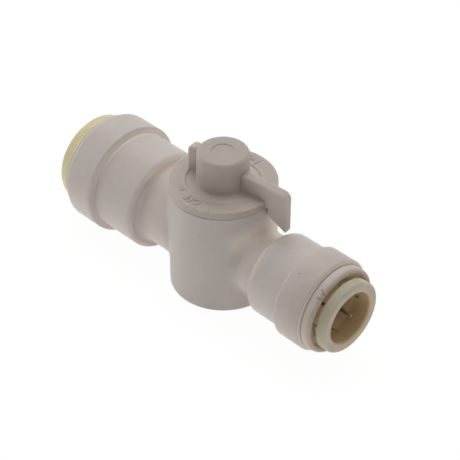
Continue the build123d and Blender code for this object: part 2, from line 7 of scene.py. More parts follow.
import bpy
import numpy as np
from mathutils import Matrix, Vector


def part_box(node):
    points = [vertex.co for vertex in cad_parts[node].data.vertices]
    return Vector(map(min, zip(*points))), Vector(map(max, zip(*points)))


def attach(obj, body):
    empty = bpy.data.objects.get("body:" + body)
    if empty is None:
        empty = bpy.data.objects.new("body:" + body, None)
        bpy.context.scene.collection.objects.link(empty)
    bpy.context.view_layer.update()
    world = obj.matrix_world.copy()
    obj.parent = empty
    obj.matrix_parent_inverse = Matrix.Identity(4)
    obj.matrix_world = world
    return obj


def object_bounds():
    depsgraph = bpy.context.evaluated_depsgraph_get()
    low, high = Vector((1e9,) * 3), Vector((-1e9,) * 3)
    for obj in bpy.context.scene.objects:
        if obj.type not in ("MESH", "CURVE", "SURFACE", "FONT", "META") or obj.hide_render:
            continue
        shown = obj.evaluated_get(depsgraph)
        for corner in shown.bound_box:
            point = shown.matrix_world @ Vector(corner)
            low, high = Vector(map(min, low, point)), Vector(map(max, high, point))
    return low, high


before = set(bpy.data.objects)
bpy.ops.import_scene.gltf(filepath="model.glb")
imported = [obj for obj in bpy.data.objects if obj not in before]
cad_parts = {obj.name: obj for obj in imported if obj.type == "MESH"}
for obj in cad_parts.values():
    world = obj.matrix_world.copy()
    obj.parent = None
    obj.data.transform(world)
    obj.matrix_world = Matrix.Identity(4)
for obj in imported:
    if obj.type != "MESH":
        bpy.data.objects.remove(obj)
cad_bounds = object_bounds()

log = logging.getLogger("valve")

MM = 0.001

Colour = Tuple[float, float, float]
Place = Tuple[float, float, float]
Span = Tuple[float, float]


def linear(colour: Sequence[float]) -> Tuple[float, float, float, float]:
    """Turns a display colour into the linear colour that a shader takes.

    Args:
        colour: red, green and blue as seen on a screen, each from 0 to 1.

    Returns:
        The linear red, green and blue with an alpha of 1, by the usual sRGB curve.
    """
    c = np.asarray(colour, dtype=float)
    out = np.where(c <= 0.04045, c / 12.92, ((c + 0.055) / 1.055) ** 2.4)
    return (float(out[0]), float(out[1]), float(out[2]), 1.0)


def scaled(colour: Sequence[float], factor: float) -> Colour:
    """A display colour made lighter or darker by a factor."""
    return (factor * colour[0], factor * colour[1], factor * colour[2])


class Signal:
    """An output socket of a node graph that can stand in a Python expression."""

    def __init__(self, graph: "Graph", socket: bpy.types.NodeSocket) -> None:
        """Keeps the graph and the socket that carries the value."""
        self.graph = graph
        self.socket = socket

    def output(self, name: str) -> "Signal":
        """Another output of the same node."""
        return Signal(self.graph, self.socket.node.outputs[name])

    def _math(self, operation: str, first: Any, second: Any) -> "Signal":
        """Adds one Math node.

        Args:
            operation: name of the Math node's operation.
            first: left operand, a number or a signal.
            second: right operand, a number or a signal.

        Returns:
            The signal of the node's result.
        """
        return self.graph.node("ShaderNodeMath", {"operation": operation}, {0: first, 1: second})

    def __add__(self, other: Any) -> "Signal":
        """Sum of this signal and another value."""
        return self._math("ADD", self, other)

    def __radd__(self, other: Any) -> "Signal":
        """Sum of another value and this signal."""
        return self._math("ADD", other, self)

    def __sub__(self, other: Any) -> "Signal":
        """Difference of this signal and another value."""
        return self._math("SUBTRACT", self, other)

    def __rsub__(self, other: Any) -> "Signal":
        """Difference of another value and this signal."""
        return self._math("SUBTRACT", other, self)

    def __mul__(self, other: Any) -> "Signal":
        """Product of this signal and another value."""
        return self._math("MULTIPLY", self, other)

    def __rmul__(self, other: Any) -> "Signal":
        """Product of another value and this signal."""
        return self._math("MULTIPLY", other, self)

    def __pow__(self, other: Any) -> "Signal":
        """This signal raised to a power."""
        return self._math("POWER", self, other)


class Graph:
    """A node tree under construction."""

    def __init__(self, tree: bpy.types.NodeTree) -> None:
        """Takes a tree and empties it."""
        self.tree = tree
        self.tree.nodes.clear()

    def node(self, kind: str, settings: Dict[str, Any], inputs: Dict[Any, Any], output: Any = 0) -> Signal:
        """Adds any node.

        Args:
            kind: the node's type name.
            settings: attributes that are set before its sockets.
            inputs: socket names or numbers with their values or signals.
            output: name or number of the socket that is handed back.

        Returns:
            The signal of that output socket.
        """
        node = self.tree.nodes.new(kind)
        for key, value in settings.items():
            setattr(node, key, value)
        for key, value in inputs.items():
            if isinstance(value, Signal):
                self.tree.links.new(value.socket, node.inputs[key])
            else:
                node.inputs[key].default_value = value
        return Signal(self, node.outputs[output])

    def end(self, kind: str, surface: Signal) -> None:
        """Adds the tree's output node and joins a shader to it."""
        self.tree.links.new(surface.socket, self.tree.nodes.new(kind).inputs["Surface"])

    def seen(self) -> Signal:
        """Value that is 1 for rays from the camera, also by a reflection or through a clear body."""
        rays = self.node("ShaderNodeLightPath", {}, {}, "Is Camera Ray")
        return rays + rays.output("Is Glossy Ray") + rays.output("Is Transmission Ray")


class Paint(Graph):
    """A material under construction, with the place of a point in millimetres."""

    def __init__(self, name: str) -> None:
        """Makes an empty material that reads Object coordinates."""
        self.material = bpy.data.materials.new(name)
        self.material.use_nodes = True
        super().__init__(self.material.node_tree)
        metres = self.node("ShaderNodeTexCoord", {}, {}, "Object")
        self.place = self.vector("SCALE", {0: metres, "Scale": 1.0 / MM})

    def vector(self, operation: str, inputs: Dict[Any, Any], output: str = "Vector") -> Signal:
        """Adds one Vector Math node.

        Args:
            operation: name of the node's operation.
            inputs: socket names or numbers with their values or signals.
            output: Vector or Value, whichever the operation gives.

        Returns:
            The signal of the node's result.
        """
        return self.node("ShaderNodeVectorMath", {"operation": operation}, inputs, output)

    def noise(self, scale: float, detail: float, stretch: Place = (1.0, 1.0, 1.0),
              seed: float = 0.0) -> Signal:
        """Smooth noise around 0.5 over the surface.

        Args:
            scale: waves for each millimetre.
            detail: number of finer layers.
            stretch: factor on each axis, small along the direction of streaks.
            seed: shift of the pattern, in millimetres.

        Returns:
            The noise value.
        """
        moved = self.node("ShaderNodeMapping", {"vector_type": "POINT"},
                          {"Vector": self.place, "Scale": stretch,
                           "Location": (seed, 1.7 * seed, 0.6 * seed)})
        return self.node("ShaderNodeTexNoise", {"noise_dimensions": "3D"},
                         {"Vector": moved, "Scale": scale, "Detail": detail, "Roughness": 0.55}, "Fac")

    def ramp(self, value: Signal, low: float, high: float, curve: str = "SMOOTHSTEP") -> Signal:
        """Step of a value.

        Args:
            value: the value that is measured.
            low: where the step is still 0.
            high: where the step has reached 1, which may lie below low.
            curve: the Map Range node's interpolation.

        Returns:
            A value from 0 to 1.
        """
        return self.node("ShaderNodeMapRange", {"interpolation_type": curve, "clamp": True},
                         {"Value": value, "From Min": low, "From Max": high, "To Min": 0.0, "To Max": 1.0})

    def axes(self) -> Tuple[Signal, Signal, Signal]:
        """The point's place along X, Y and Z, in millimetres."""
        along = self.node("ShaderNodeSeparateXYZ", {}, {"Vector": self.place}, "X")
        return along, along.output("Y"), along.output("Z")

    def mix(self, factor: Any, first: Any, second: Any) -> Signal:
        """Mixes two colours.

        Args:
            factor: share of the second colour.
            first: a linear colour or a signal.
            second: a linear colour or a signal.

        Returns:
            The mixed colour.
        """
        return self.node("ShaderNodeMix", {"data_type": "RGBA", "clamp_factor": True},
                         {0: factor, 6: first, 7: second}, 2)

    def specks(self, scale: float, share: float, radius: float) -> Signal:
        """Sparse round specks, one in some cells of a Voronoi pattern.

        Args:
            scale: cells for each millimetre.
            share: share of the cells that hold a speck.
            radius: a speck's radius as a share of its cell.

        Returns:
            A mask that is 1 on a speck.
        """
        cells = self.node("ShaderNodeTexVoronoi", {"feature": "F1"},
                          {"Vector": self.place, "Scale": scale, "Randomness": 1.0}, "Distance")
        chance = self.node("ShaderNodeSeparateColor", {}, {"Color": cells.output("Color")})
        return self.ramp(cells, radius, 0.4 * radius) * self.ramp(chance, 1.0 - share, 1.01 - share)

    def bump(self, height: Signal, strength: float, distance: float) -> Signal:
        """Normal of a rough skin.

        Args:
            height: height over the surface, about 0 to 1.
            strength: strength of the effect.
            distance: height of a full step, in metres.

        Returns:
            The normal.
        """
        return self.node("ShaderNodeBump", {}, {"Strength": strength, "Distance": distance, "Height": height})

    def finish(self, sockets: Dict[str, Any]) -> bpy.types.Material:
        """Ends the material with one Principled shader.

        Args:
            sockets: the shader's socket names with their values or signals.

        Returns:
            The finished material.
        """
        self.end("ShaderNodeOutputMaterial", self.node("ShaderNodeBsdfPrincipled", {}, sockets))
        return self.material


class Grain(Enum):
    """Direction of the faint flow marks in a moulding."""

    ALL_ROUND = (1.0, 1.0, 1.0)
    UP_STEM = (1.0, 1.0, 0.08)


@dataclass(frozen=True)
class PaintedLight:
    """Painted light or shade on part of a moulding, by place along the pipe, distance from an axis and
    height: a lighter colour stands in for light that reaches a crease or hollow, a darker one for shade.

    Each span runs from where the painted light or shade is nothing to where it is full, in millimetres.
    """

    colour: Colour
    amount: float
    start: Optional[Span] = None
    stop: Optional[Span] = None
    radius: Optional[Span] = None
    height: Optional[Span] = None
    stem: Optional[Span] = None

    def mask(self, paint: Paint, along: Signal, radius: Signal, height: Signal, stem: Signal) -> Signal:
        """Where the painted light or shade lies.

        Args:
            paint: the material under construction.
            along: place along the pipe, in millimetres.
            radius: distance from the pipe's axis, in millimetres.
            height: height over the barrel's underside, in millimetres.
            stem: distance from the stem's axis, in millimetres.

        Returns:
            Its share, from 0 to its amount.
        """
        spans = ((along, self.start), (along, self.stop), (radius, self.radius), (height, self.height),
                 (stem, self.stem))
        steps = [paint.ramp(value, *span) for value, span in spans if span is not None]
        return math.prod(steps, start=self.amount)


@dataclass(frozen=True)
class Scuff:
    """A worn or dirty stroke on a moulding between two points, in millimetres."""

    colour: Colour
    amount: float
    start: Place
    end: Place
    width: float

    def mask(self, paint: Paint) -> Signal:
        """Where the stroke lies: near the point start + t * way, with t = (p - start).way / way.way.

        Args:
            paint: the material under construction.

        Returns:
            The stroke's share, from 0 to its amount.
        """
        way = np.subtract(self.end, self.start)
        offset = paint.vector("SUBTRACT", {0: paint.place, 1: self.start})
        reached = paint.vector("DOT_PRODUCT", {0: offset, 1: tuple(way)}, "Value")
        share = paint.ramp(reached, 0.0, float(way @ way), "LINEAR")
        nearest = paint.vector("SCALE", {0: tuple(way), "Scale": share})
        distance = paint.vector("DISTANCE", {0: offset, 1: nearest}, "Value")
        return paint.ramp(distance, 0.5 * self.width, 0.2 * self.width) * self.amount


@dataclass(frozen=True)
class MouldedPlastic:
    """Satin moulded plastic with clouding, flow marks, fine grain, a few specks and patches of painted light
    and shade.
    """

    name: str
    colour: Colour
    cloud: Colour
    axis_height: float
    roughness: float = 0.46
    grain: Grain = Grain.ALL_ROUND
    cloud_scale: float = 0.09
    cloud_span: Span = (0.36, 0.66)
    mark_scale: float = 0.55
    mark_share: float = 0.35
    skin_scale: float = 5.5
    skin_strength: float = 0.22
    skin_depth: float = 0.03
    speck_scale: float = 0.22
    speck_share: float = 0.05
    speck_radius: float = 0.055
    speck_shade: float = 0.42
    subsurface: float = 0.35
    # Patches of painted light and shade: lighter or darker colours laid on where light or shade falls.
    shades: Tuple[PaintedLight, ...] = ()
    scuffs: Tuple[Scuff, ...] = ()

    def material(self) -> bpy.types.Material:
        """Builds the finish.

        Returns:
            The material: colour = base clouded by two noises, with painted light and shade laid over it,
                specked and scuffed;
            roughness and bump follow the same noises.
        """
        paint = Paint(self.name)
        clouds = paint.noise(self.cloud_scale, 3.0, seed=4.0)
        marks = paint.noise(self.mark_scale, 4.0, self.grain.value, seed=11.0)
        skin = paint.noise(self.skin_scale, 2.0, seed=2.0)
        both = (1.0 - self.mark_share) * clouds + self.mark_share * marks
        clouding = paint.ramp(both, *self.cloud_span)
        colour = paint.mix(clouding, linear(self.colour), linear(self.cloud))
        along, across, height = paint.axes()
        lift = height - self.axis_height
        radius = (across * across + lift * lift) ** 0.5
        stem = (across * across + along * along) ** 0.5
        # Lays each patch of painted light or shade over the colour.
        for shade in self.shades:
            share = shade.mask(paint, along, radius, height, stem) * (0.75 + 0.5 * marks)
            colour = paint.mix(share, colour, linear(shade.colour))
        specks = paint.specks(self.speck_scale, self.speck_share, self.speck_radius)
        colour = paint.mix(0.7 * specks, colour, linear(scaled(self.colour, self.speck_shade)))
        for scuff in self.scuffs:
            colour = paint.mix(scuff.mask(paint), colour, linear(scuff.colour))
        return paint.finish({
            "Base Color": colour,
            "Roughness": self.roughness - 0.05 + 0.07 * marks + 0.04 * skin,
            "Normal": paint.bump(0.6 * skin + 0.4 * marks, self.skin_strength, self.skin_depth * MM),
            "IOR": 1.47,
            "Specular IOR Level": 0.42,
            "Subsurface Weight": self.subsurface,
            "Subsurface Radius": (1.0, 0.95, 0.9),
            "Subsurface Scale": 1.6 * MM,
        })


@dataclass(frozen=True)
class MouldedRubber:
    """Matt black seal rubber with a fine bloom."""

    name: str
    colour: Colour = (0.13, 0.13, 0.135)
    bloom_scale: float = 1.4
    bloom_lift: float = 1.7
    skin_scale: float = 9.0

    def material(self) -> bpy.types.Material:
        """Builds the finish.

        Returns:
            The material, with a grey bloom by noise.
        """
        paint = Paint(self.name)
        bloom = paint.noise(self.bloom_scale, 4.0, seed=7.0)
        skin = paint.noise(self.skin_scale, 2.0, seed=1.0)
        lighter = linear(scaled(self.colour, self.bloom_lift))
        return paint.finish({
            "Base Color": paint.mix(paint.ramp(bloom, 0.45, 0.75), linear(self.colour), lighter),
            "Roughness": 0.5 + 0.25 * bloom,
            "Normal": paint.bump(skin, 0.2, 0.02 * MM),
            "IOR": 1.52,
        })


@dataclass(frozen=True)
class SpringSteel:
    """Rolled spring steel with brushing across the strip."""

    name: str
    colour: Colour = (0.52, 0.505, 0.48)
    streak_scale: float = 2.2
    streak_shade: float = 0.8

    def material(self) -> bpy.types.Material:
        """Builds the finish.

        Returns:
            The metal, with streaks in colour and roughness.
        """
        paint = Paint(self.name)
        streaks = paint.noise(self.streak_scale, 4.0, (1.0, 0.06, 1.0), seed=3.0)
        darker = linear(scaled(self.colour, self.streak_shade))
        return paint.finish({
            "Base Color": paint.mix(paint.ramp(streaks, 0.35, 0.7), linear(self.colour), darker),
            "Roughness": 0.34 + 0.2 * streaks,
            "Normal": paint.bump(streaks, 0.12, 0.02 * MM),
            "Metallic": 1.0,
        })


def add_object(name: str, data: bpy.types.ID) -> bpy.types.Object:
    """Puts a mesh, curve, lamp or camera into the scene, at the origin.

    Args:
        name: the object's name.
        data: what it shows.

    Returns:
        The new object.
    """
    thing = bpy.data.objects.new(name, data)
    bpy.context.scene.collection.objects.link(thing)
    return thing


def add_piece(mesh: bpy.types.Mesh, material: bpy.types.Material, carrier: str) -> bpy.types.Object:
    """Puts a mesh into the scene as a piece that rides on a body and shares its node's finish.

    Args:
        mesh: the piece's mesh, named as the piece, with its place in it.
        material: its finish.
        carrier: the body that carries it, and the node whose material slot it takes.

    Returns:
        The new object.
    """
    mesh.materials.clear()
    mesh.materials.append(material)
    piece = add_object(mesh.name, mesh)
    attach(piece, carrier)
    log.info("piece %s: %d faces on %s", piece.name, len(mesh.polygons), carrier)
    return piece


def surface_mesh(name: str, points: np.ndarray, faces: np.ndarray) -> bpy.types.Mesh:
    """Makes a mesh of a surface.

    Args:
        name: the mesh's name.
        points: array of points, in millimetres, with X, Y and Z along its last axis.
        faces: array of corner numbers, one row a face.

    Returns:
        The mesh, in metres.
    """
    mesh = bpy.data.meshes.new(name)
    mesh.from_pydata((points.reshape(-1, 3) * MM).tolist(), [], faces.tolist())
    mesh.update()
    return mesh


def grid_faces(rows: int, columns: int, wrap: bool) -> np.ndarray:
    """Faces of a grid of points, row by row.

    Args:
        rows: number of rows.
        columns: number of points in a row.
        wrap: joins each row's end to its start.

    Returns:
        Corner numbers (i, j), (i+1, j), (i+1, j+1), (i, j+1) of each cell.
    """
    i, j = np.meshgrid(np.arange(rows - 1), np.arange(columns if wrap else columns - 1), indexing="ij")
    k = (j + 1) % columns
    corners = [i * columns + j, (i + 1) * columns + j, (i + 1) * columns + k, i * columns + k]
    return np.stack(corners, axis=-1).reshape(-1, 4)


def round_stem(radius: Any, polar: Any, height: Any) -> np.ndarray:
    """Points from their distance from the stem's axis, polar angle in radians and height."""
    radius, polar, height = np.broadcast_arrays(radius, polar, height)
    return np.stack([radius * np.cos(polar), radius * np.sin(polar), height], axis=-1)


def dress(nodes: Sequence[str], material: bpy.types.Material) -> None:
    """Gives CAD nodes a finish.

    Args:
        nodes: names of the nodes.
        material: the finish.
    """
    for node in nodes:
        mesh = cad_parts[node].data
        mesh.materials.clear()
        mesh.materials.append(material)
        log.info("node %s: %s", node, material.name)


class Mark(Enum):
    """The two words on the handle's disc, with the way round that a word's arrowhead points."""

    OFF = -1.0
    ON = 1.0


@dataclass
class Handle:
    """The turning handle with the raised words and marks on its disc. Sizes are in millimetres."""

    finish: MouldedPlastic
    knob_rise: float = 8.1
    word_foot: float = 9.55
    word_height: float = 2.1
    letter_width: float = 0.82
    capital_share: float = 0.7
    letter_spacing: float = 1.08
    letter_stroke: float = 0.05
    letter_bevel: float = 0.05
    word_relief: float = 0.1
    off_angle: float = -86.5
    on_angle: float = 94.0
    head_relief: float = 0.13
    line_relief: float = 0.06
    ridge_root: float = 0.1
    head_radius: float = 10.0
    head_span: Span = (24.0, 36.0)
    head_width: float = 1.7
    tip_width: float = 0.02
    line_radius: float = 9.6
    line_span: Span = (-79.0, -43.0)
    line_width: float = 0.32
    gate_angle: float = -60.0
    gate_radius: float = 12.3
    gate_length: float = 0.45
    gate_width: float = 0.9
    gate_relief: float = 0.1
    arc_steps: int = 25
    section_steps: int = 11
    gate_steps: Tuple[int, int] = (13, 9)

    def build(self) -> None:
        """Builds the words, the arrowheads, the line and the gate mark, and dresses the handle."""
        self.disc_top = float(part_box("handle")[1][2]) / MM - self.knob_rise
        self.paint = self.finish.material()
        dress(["handle"], self.paint)
        for mark, angle in ((Mark.OFF, self.off_angle), (Mark.ON, self.on_angle)):
            self.word(mark, angle)
            self.arrow_head(mark, angle)
        self.line()
        self.gate_mark()

    def word(self, mark: Mark, angle: float) -> bpy.types.Object:
        """Raised word on the disc, its letters' heads outwards.

        The flat letters (x, y) are bent round the disc: polar angle = middle - width * x / radius, which
        reads clockwise, and radius = foot + y.

        Args:
            mark: which word.
            angle: polar angle of its middle, in degrees.

        Returns:
            The piece.
        """
        curve = bpy.data.curves.new("letters", "FONT")
        curve.body = mark.name
        curve.align_x = "CENTER"
        curve.size = self.word_height / self.capital_share
        curve.space_character = self.letter_spacing
        curve.extrude = self.word_relief
        curve.offset = self.letter_stroke
        curve.bevel_depth = self.letter_bevel
        curve.bevel_resolution = 2
        curve.resolution_u = 6
        flat = add_object("letters", curve)
        mesh = bpy.data.meshes.new_from_object(flat.evaluated_get(bpy.context.evaluated_depsgraph_get()))
        bpy.data.objects.remove(flat)
        bpy.data.curves.remove(curve)
        points = np.empty(len(mesh.vertices) * 3)
        mesh.vertices.foreach_get("co", points)
        x, y, z = points.reshape(-1, 3).T
        polar = math.radians(angle) - self.letter_width * x / (self.word_foot + 0.5 * self.word_height)
        bent = round_stem(self.word_foot + y, polar, self.disc_top + z)
        mesh.vertices.foreach_set("co", (bent * MM).ravel())
        mesh.update()
        mesh.name = "word_" + mark.name.lower()
        return add_piece(mesh, self.paint, "handle")

    def arrow_head(self, mark: Mark, angle: float) -> bpy.types.Object:
        """Raised arrowhead beside a word, its width = full width * (1 - t) from its root to its point.

        Args:
            mark: the word.
            angle: polar angle of that word's middle, in degrees.

        Returns:
            The piece.
        """
        t = np.linspace(0.0, 1.0, self.arc_steps)
        root, point = self.head_span
        polar = np.radians(angle + mark.value * (root + (point - root) * t))
        half = 0.5 * np.maximum(self.head_width * (1.0 - t), self.tip_width)
        return self.ridge("arrow_head_" + mark.name.lower(), polar, self.head_radius, half, self.head_relief)

    def line(self) -> bpy.types.Object:
        """Thin raised line on the disc, an arc beside the word OFF, of one width all along.

        Returns:
            The piece.
        """
        polar = np.radians(np.linspace(*self.line_span, self.arc_steps))
        half = np.full(polar.shape, 0.5 * self.line_width)
        return self.ridge("disc_line", polar, self.line_radius, half, self.line_relief)

    def ridge(self, name: str, polar: np.ndarray, radius: float, half: np.ndarray,
              relief: float) -> bpy.types.Object:
        """Raised ridge along an arc of the disc.

        A cushion-shaped section, height = relief * (1 - v^4) over its half width, is carried along the arc.
        Its sides change places with the way the arc runs, so that the faces always point outwards.

        Args:
            name: the piece's name.
            polar: polar angles of its sections, in radians.
            radius: its distance from the stem's axis.
            half: half width of each section.
            relief: its height over the disc.

        Returns:
            The piece.
        """
        v = np.linspace(-1.0, 1.0, self.section_steps)
        side = -1.0 if polar[-1] > polar[0] else 1.0
        across = radius + side * half[:, None] * v
        top = round_stem(across, polar[:, None], self.disc_top + relief * (1.0 - v ** 4))
        foot = round_stem(across, polar[:, None], self.disc_top - self.ridge_root)
        ring = np.concatenate([top, foot[:, ::-1]], axis=1)
        rows, columns = ring.shape[:2]
        first = np.arange(v.size - 1)
        near = np.stack([first, first + 1, columns - 2 - first, columns - 1 - first], axis=-1)
        far = (near + (rows - 1) * columns)[:, ::-1]
        faces = np.concatenate([grid_faces(rows, columns, True), near, far])
        return add_piece(surface_mesh(name, ring, faces), self.paint, "handle")

    def gate_mark(self) -> bpy.types.Object:
        """Small trimmed gate mark near the disc's edge: a flattened dome, height = (1 - u^4) * (1 - v^4).

        Returns:
            The piece.
        """
        rows, columns = self.gate_steps
        u, v = np.meshgrid(np.linspace(-1, 1, rows), np.linspace(-1, 1, columns), indexing="ij")
        radius = self.gate_radius + 0.5 * u * self.gate_width
        polar = math.radians(self.gate_angle) + 0.5 * v * self.gate_length / self.gate_radius
        dome = 2.0 * (1.0 - u ** 4) * (1.0 - v ** 4) - 1.0
        points = round_stem(radius, polar, self.disc_top + self.gate_relief * dome)
        mesh = surface_mesh("gate_mark", points, grid_faces(rows, columns, False))
        return add_piece(mesh, self.paint, "handle")


@dataclass
class Shell:
    """The moulded body with the caps of both sockets."""

    body_finish: MouldedPlastic
    cap_finish: MouldedPlastic

    def build(self) -> None:
        """Dresses the body and the caps."""
        dress(["body"], self.body_finish.material())
        dress(["inlet_cap", "outlet_cap"], self.cap_finish.material())


@dataclass
class ReleaseCollets:
    """The two release collets with their grab rings."""

    inlet_finish: MouldedPlastic
    outlet_finish: MouldedPlastic
    ring_finish: SpringSteel

    def build(self) -> None:
        """Dresses the collets and the grab rings."""
        dress(["inlet_collet"], self.inlet_finish.material())
        dress(["outlet_collet"], self.outlet_finish.material())
        dress(["inlet_grab_ring", "outlet_grab_ring"], self.ring_finish.material())


@dataclass
class Works:
    """The pieces inside the shell: ball, seats, stem, bonnet, washer, spacers and seals."""

    plastic: MouldedPlastic
    seat_plastic: MouldedPlastic
    rubber: MouldedRubber

    def build(self) -> None:
        """Dresses the inner pieces."""
        dress(["ball", "stem", "bonnet", "inlet_spacer", "outlet_spacer"], self.plastic.material())
        dress(["ball_seat_inlet", "ball_seat_outlet", "thrust_washer"], self.seat_plastic.material())
        dress(["seat_seal_inlet", "seat_seal_outlet", "stem_seal_lower", "stem_seal_upper", "bonnet_seal",
               "inlet_tube_seal", "outlet_tube_seal"], self.rubber.material())


def look_matrix(place: Sequence[float], back: Sequence[float]) -> Matrix:
    """Matrix of a lamp or camera that looks against a direction, upright.

    Args:
        place: where it stands, in metres.
        back: direction from what it looks at to itself.

    Returns:
        The world matrix, its columns right = up x back, back x right, back and place.
    """
    back = np.asarray(back, dtype=float) / np.linalg.norm(back)
    right = np.cross((0.0, 0.0, 1.0), back)
    right = right / np.linalg.norm(right)
    matrix = np.eye(4)
    matrix[:3] = np.stack([right, np.cross(back, right), back, np.asarray(place, dtype=float)], axis=-1)
    return Matrix(matrix.tolist())


@dataclass(frozen=True)
class SoftLamp:
    """A square soft lamp that points at the valve. Its place and side are in metres."""

    name: str
    place: Place
    side: float
    power: float

    def hang(self, target: Place) -> None:
        """Hangs the lamp and turns it to a point.

        Args:
            target: the point that it lights, in metres.
        """
        light = bpy.data.lights.new(self.name, "AREA")
        light.shape = "SQUARE"
        light.size = self.side
        light.energy = self.power
        add_object(self.name, light).matrix_world = look_matrix(self.place, np.subtract(self.place, target))
        log.info("lamp %s", self.name)


@dataclass
class Studio:
    """Pale floor, soft lamps, even surroundings and the camera."""

    axis_height: float
    lowest: float
    camera_place: Place = (188.019, -184.993, 215.728)
    camera_back: Place = (0.550372, -0.548569, 0.629415)
    focal_pixels: float = 1423.948
    picture_side: float = 460.0
    sensor: float = 36.0
    clip: Span = (0.01, 20.0)
    floor_reach: float = 3000.0
    floor_points: int = 7
    floor_colour: Colour = (0.97, 0.97, 0.965)
    floor_glow: float = 0.41
    floor_whiteness: float = 0.93
    shown_white: Colour = (1.0, 1.0, 1.0)
    surround: float = 0.16
    lamps: Tuple[SoftLamp, ...] = (
        SoftLamp("overhead_lamp", (0.02, -0.02, 0.75), 0.8, 1.25),
        SoftLamp("back_left_lamp", (-0.25, 0.30, 0.65), 0.7, 2.35),
        SoftLamp("back_right_lamp", (0.30, 0.25, 0.65), 0.7, 0.65),
        SoftLamp("left_lamp", (-0.62, -0.30, 0.20), 0.45, 1.0),
    )

    def build(self) -> None:
        """Builds the floor, the light and the camera."""
        self.floor()
        self.surroundings()
        for lamp in self.lamps:
            lamp.hang((0.0, 0.0, self.axis_height * MM))
        self.camera()
        bpy.context.scene.view_settings.view_transform = "Standard"

    def floor(self) -> None:
        """Wide flat floor under the valve, a grid z = lowest, white to the camera but for a faint shadow."""
        side = np.linspace(-self.floor_reach, self.floor_reach, self.floor_points)
        points = np.stack(np.meshgrid(side, side, self.lowest, indexing="ij"), axis=-1)
        mesh = surface_mesh("floor", points, grid_faces(side.size, side.size, False))
        paint = Paint("floor_white")
        white = linear(self.shown_white)
        surface = paint.node("ShaderNodeBsdfPrincipled", {}, {
            "Base Color": linear(self.floor_colour), "Roughness": 0.9,
            "Emission Color": white, "Emission Strength": self.floor_glow})
        glow = paint.node("ShaderNodeEmission", {}, {"Color": white, "Strength": 1.0})
        share = paint.seen() * self.floor_whiteness
        mixed = paint.node("ShaderNodeMixShader", {}, {0: share, 1: surface, 2: glow})
        paint.end("ShaderNodeOutputMaterial", mixed)
        mesh.materials.append(paint.material)
        add_object("floor", mesh)
        log.info("floor at %.2f mm", self.lowest)

    def surroundings(self) -> None:
        """Even pale surroundings that show white to the camera and to reflections."""
        world = bpy.data.worlds.new("pale_room")
        bpy.context.scene.world = world
        world.use_nodes = True
        graph = Graph(world.node_tree)
        white = linear(self.shown_white)
        soft = graph.node("ShaderNodeBackground", {}, {"Color": white, "Strength": self.surround})
        shown = graph.node("ShaderNodeBackground", {}, {"Color": white, "Strength": 1.0})
        mixed = graph.node("ShaderNodeMixShader", {}, {0: graph.seen(), 1: soft, 2: shown})
        graph.end("ShaderNodeOutputWorld", mixed)

    def camera(self) -> None:
        """Camera at the photograph's angle: focal length = sensor * focal pixels / picture side."""
        data = bpy.data.cameras.new("camera")
        data.sensor_width = self.sensor
        data.sensor_fit = "HORIZONTAL"
        data.lens = self.sensor * self.focal_pixels / self.picture_side
        data.clip_start, data.clip_end = self.clip
        half_pixel = 0.5 / self.picture_side
        data.shift_x, data.shift_y = -half_pixel, half_pixel
        camera = add_object("camera", data)
        place = np.add(self.camera_place, (0.0, 0.0, self.axis_height)) * MM
        camera.matrix_world = look_matrix(place, self.camera_back)
        bpy.context.scene.camera = camera


